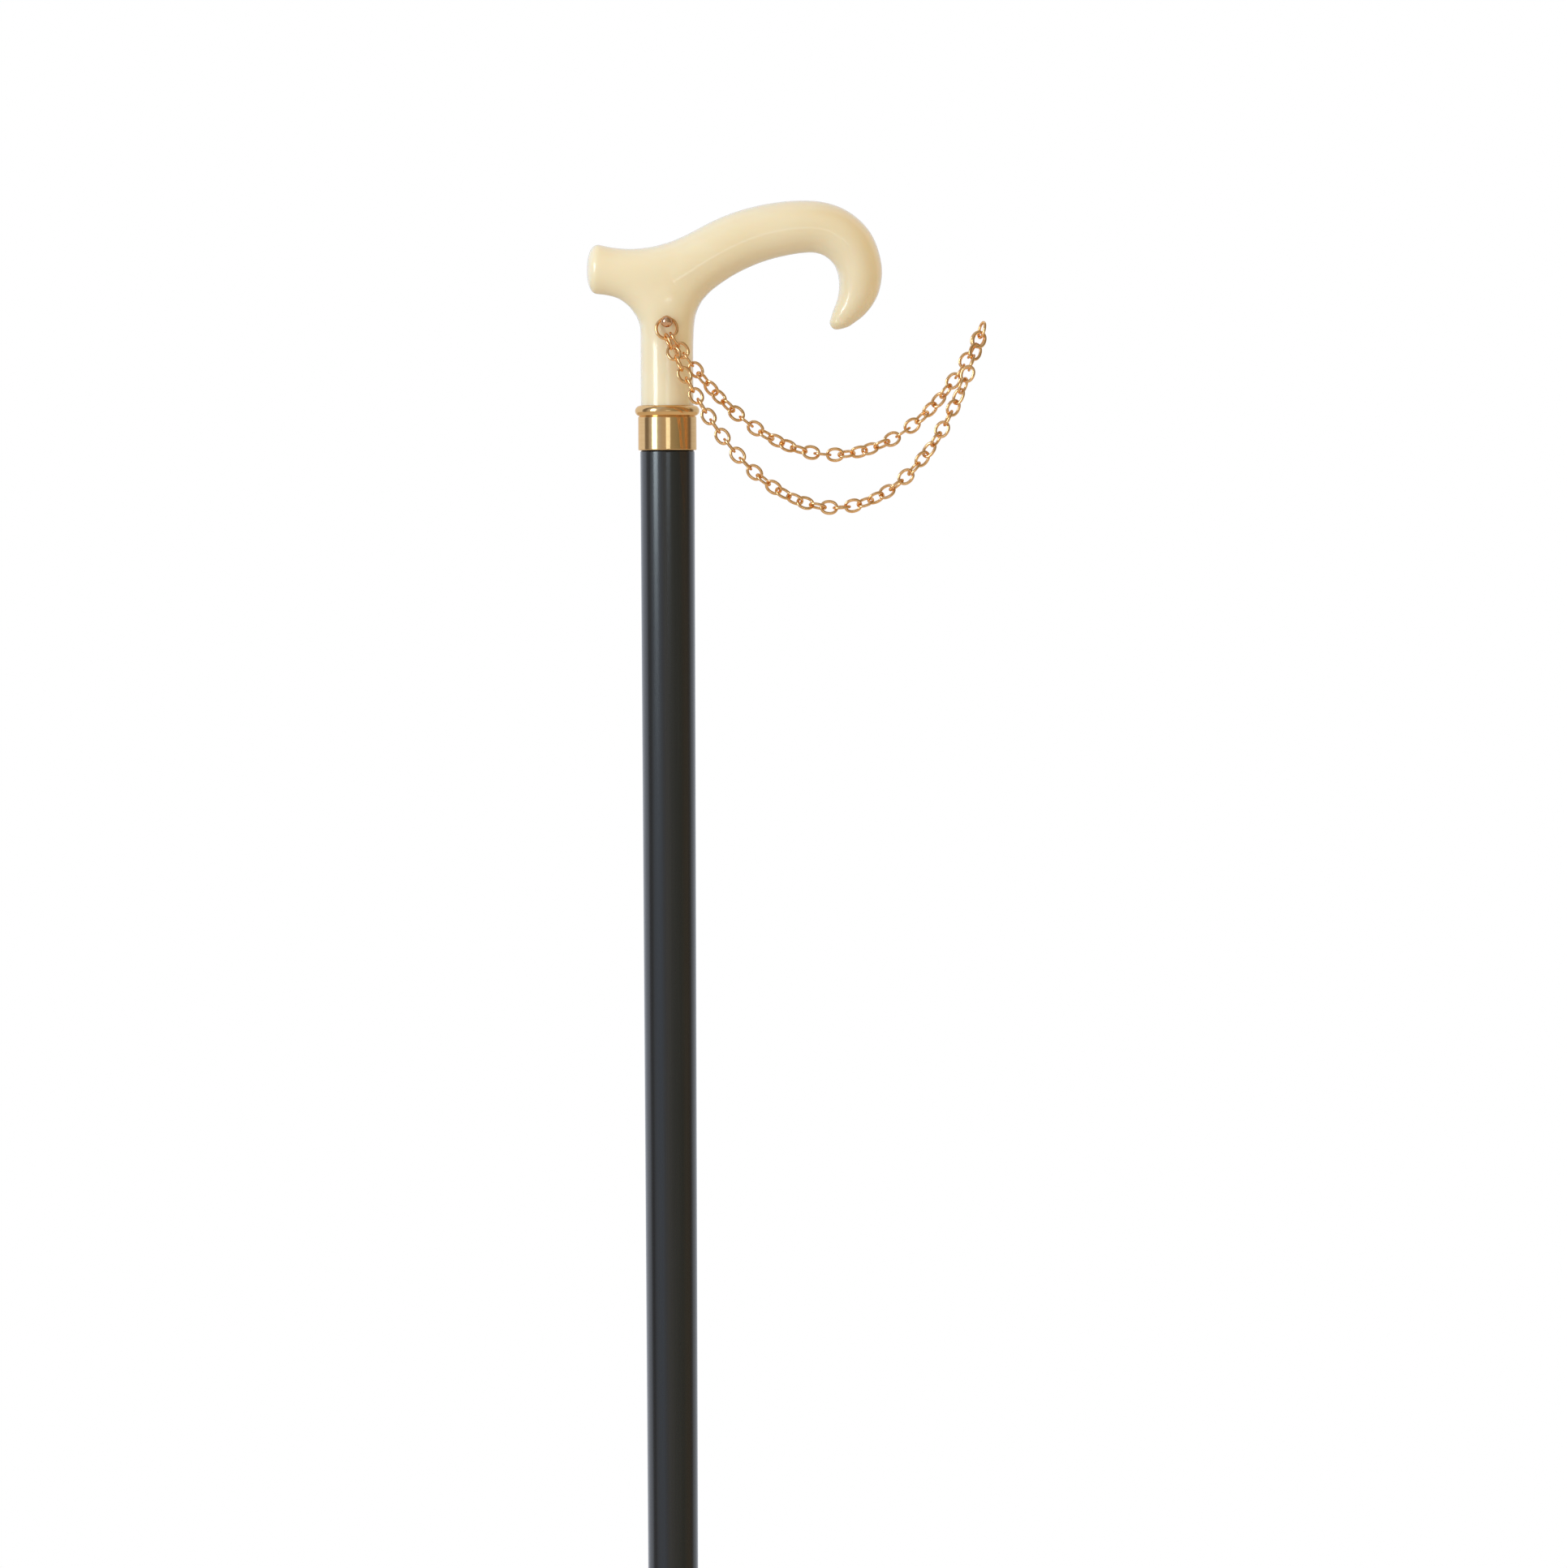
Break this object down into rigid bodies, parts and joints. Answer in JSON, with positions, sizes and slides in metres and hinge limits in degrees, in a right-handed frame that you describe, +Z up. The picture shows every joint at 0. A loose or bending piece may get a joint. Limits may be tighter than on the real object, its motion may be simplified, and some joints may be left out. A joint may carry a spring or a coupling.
{
  "type": "derby handle cane",
  "caption": "Walking cane with a moulded derby handle, a brass collar, a black tapered shaft and a gold chain wrist loop on a ball stud.",
  "frame": {"origin": "centre of the ferrule's foot, where the cane meets the floor", "axes": "+Z up the shaft, +X towards the handle's hook, -Y out of the front, where the stud and the chain are"},
  "size_m": [0.1397, 0.0344, 0.9201],
  "materials": {
    "resin": "polished ivory resin",
    "gold": "polished, gold plated",
    "collar_brass": "polished",
    "lacquered_wood": "black satin lacquer",
    "steel": "zinc plated",
    "rubber": "moulded matte"
  },
  "bodies": {
    "cane": {"handle": "resin", "ball_stud": "gold", "collar": "collar_brass", "joining_stud": "steel", "shaft": "lacquered_wood", "ferrule": "rubber", "ferrule_washer": "steel"},
    "ring": {"jump_ring": "gold"},
    "upper_1": {"upper_links_01_02": "gold", "upper_links_03_04": "gold", "upper_links_05_06": "gold"},
    "upper_2": {"upper_links_07_08": "gold", "upper_links_09_10": "gold", "upper_links_11_12": "gold"},
    "upper_3": {"upper_links_13_14": "gold", "upper_links_15_16": "gold", "upper_links_17_18": "gold"},
    "upper_4": {"upper_links_19_20": "gold", "upper_links_21_22": "gold", "upper_links_23_24": "gold"},
    "upper_5": {"upper_links_25_26": "gold", "upper_links_27_28": "gold", "upper_links_29_30": "gold"},
    "upper_6": {"upper_links_31_32": "gold", "upper_links_33_34": "gold", "end_link": "gold"},
    "return": {"lower_link_39": "gold", "lower_links_40_41": "gold"},
    "lower_1": {"lower_links_01_02": "gold", "lower_links_03_04": "gold", "lower_links_05_06": "gold"},
    "lower_2": {"lower_links_07_08": "gold", "lower_links_09_10": "gold", "lower_links_11_12": "gold"},
    "lower_3": {"lower_links_13_14": "gold", "lower_links_15_16": "gold", "lower_links_17_18": "gold"},
    "lower_4": {"lower_links_19_20": "gold", "lower_links_21_22": "gold", "lower_links_23_24": "gold"},
    "lower_5": {"lower_links_25_26": "gold", "lower_links_27_28": "gold", "lower_links_29_30": "gold"},
    "lower_6": {"lower_links_31_32": "gold", "lower_links_33_34": "gold", "lower_links_35_36": "gold"},
    "lower_7": {"lower_links_37_38": "gold"}
  },
  "joints": [
    {"name": "ring_swing", "type": "hinge", "parent": "cane", "child": "ring", "pos_m": [0, 0, 0.8778], "axis": [0, 1, 0], "range_deg": [-30, 20]},
    {"name": "upper_1_swing", "type": "hinge", "parent": "ring", "child": "upper_1", "pos_m": [0, -0.01143, 0.87536], "axis": [0, 1, 0], "range_deg": [-20, 1]},
    {"name": "upper_2_swing", "type": "hinge", "parent": "upper_1", "child": "upper_2", "pos_m": [0.01676, -0.01378, 0.85287], "axis": [0, 1, 0], "range_deg": [-10, 27]},
    {"name": "upper_3_swing", "type": "hinge", "parent": "upper_2", "child": "upper_3", "pos_m": [0.03629, -0.014, 0.83693], "axis": [0, 1, 0], "range_deg": [-10, 25]},
    {"name": "upper_4_swing", "type": "hinge", "parent": "upper_3", "child": "upper_4", "pos_m": [0.06056, -0.01387, 0.83102], "axis": [0, 1, 0], "range_deg": [-10, 34]},
    {"name": "upper_5_swing", "type": "hinge", "parent": "upper_4", "child": "upper_5", "pos_m": [0.08394, -0.01354, 0.8398], "axis": [0, 1, 0], "range_deg": [-10, 26]},
    {"name": "upper_6_swing", "type": "hinge", "parent": "upper_5", "child": "upper_6", "pos_m": [0.10115, -0.01287, 0.8582], "axis": [0, 1, 0], "range_deg": [-10, 13]},
    {"name": "return_swing", "type": "hinge", "parent": "upper_6", "child": "return", "pos_m": [0.10942, -0.01305, 0.87212], "axis": [0, 1, 0], "range_deg": [-110, 0]},
    {"name": "lower_1_swing", "type": "hinge", "parent": "ring", "child": "lower_1", "pos_m": [0, -0.01143, 0.87536], "axis": [0, 1, 0], "range_deg": [-1, 8]},
    {"name": "lower_2_swing", "type": "hinge", "parent": "lower_1", "child": "lower_2", "pos_m": [0.01114, -0.0185, 0.85], "axis": [0, 1, 0], "range_deg": [-10, 7]},
    {"name": "lower_3_swing", "type": "hinge", "parent": "lower_2", "child": "lower_3", "pos_m": [0.02588, -0.01965, 0.82947], "axis": [0, 1, 0], "range_deg": [-10, 19]},
    {"name": "lower_4_swing", "type": "hinge", "parent": "lower_3", "child": "lower_4", "pos_m": [0.04622, -0.01986, 0.81477], "axis": [0, 1, 0], "range_deg": [-10, 37]},
    {"name": "lower_5_swing", "type": "hinge", "parent": "lower_4", "child": "lower_5", "pos_m": [0.07091, -0.01989, 0.81496], "axis": [0, 1, 0], "range_deg": [-10, 38]},
    {"name": "lower_6_swing", "type": "hinge", "parent": "lower_5", "child": "lower_6", "pos_m": [0.09022, -0.0199, 0.83088], "axis": [0, 1, 0], "range_deg": [-10, 21]},
    {"name": "lower_7_swing", "type": "hinge", "parent": "lower_6", "child": "lower_7", "pos_m": [0.10254, -0.0199, 0.85293], "axis": [0, 1, 0], "range_deg": [-10, 8]}
  ]
}
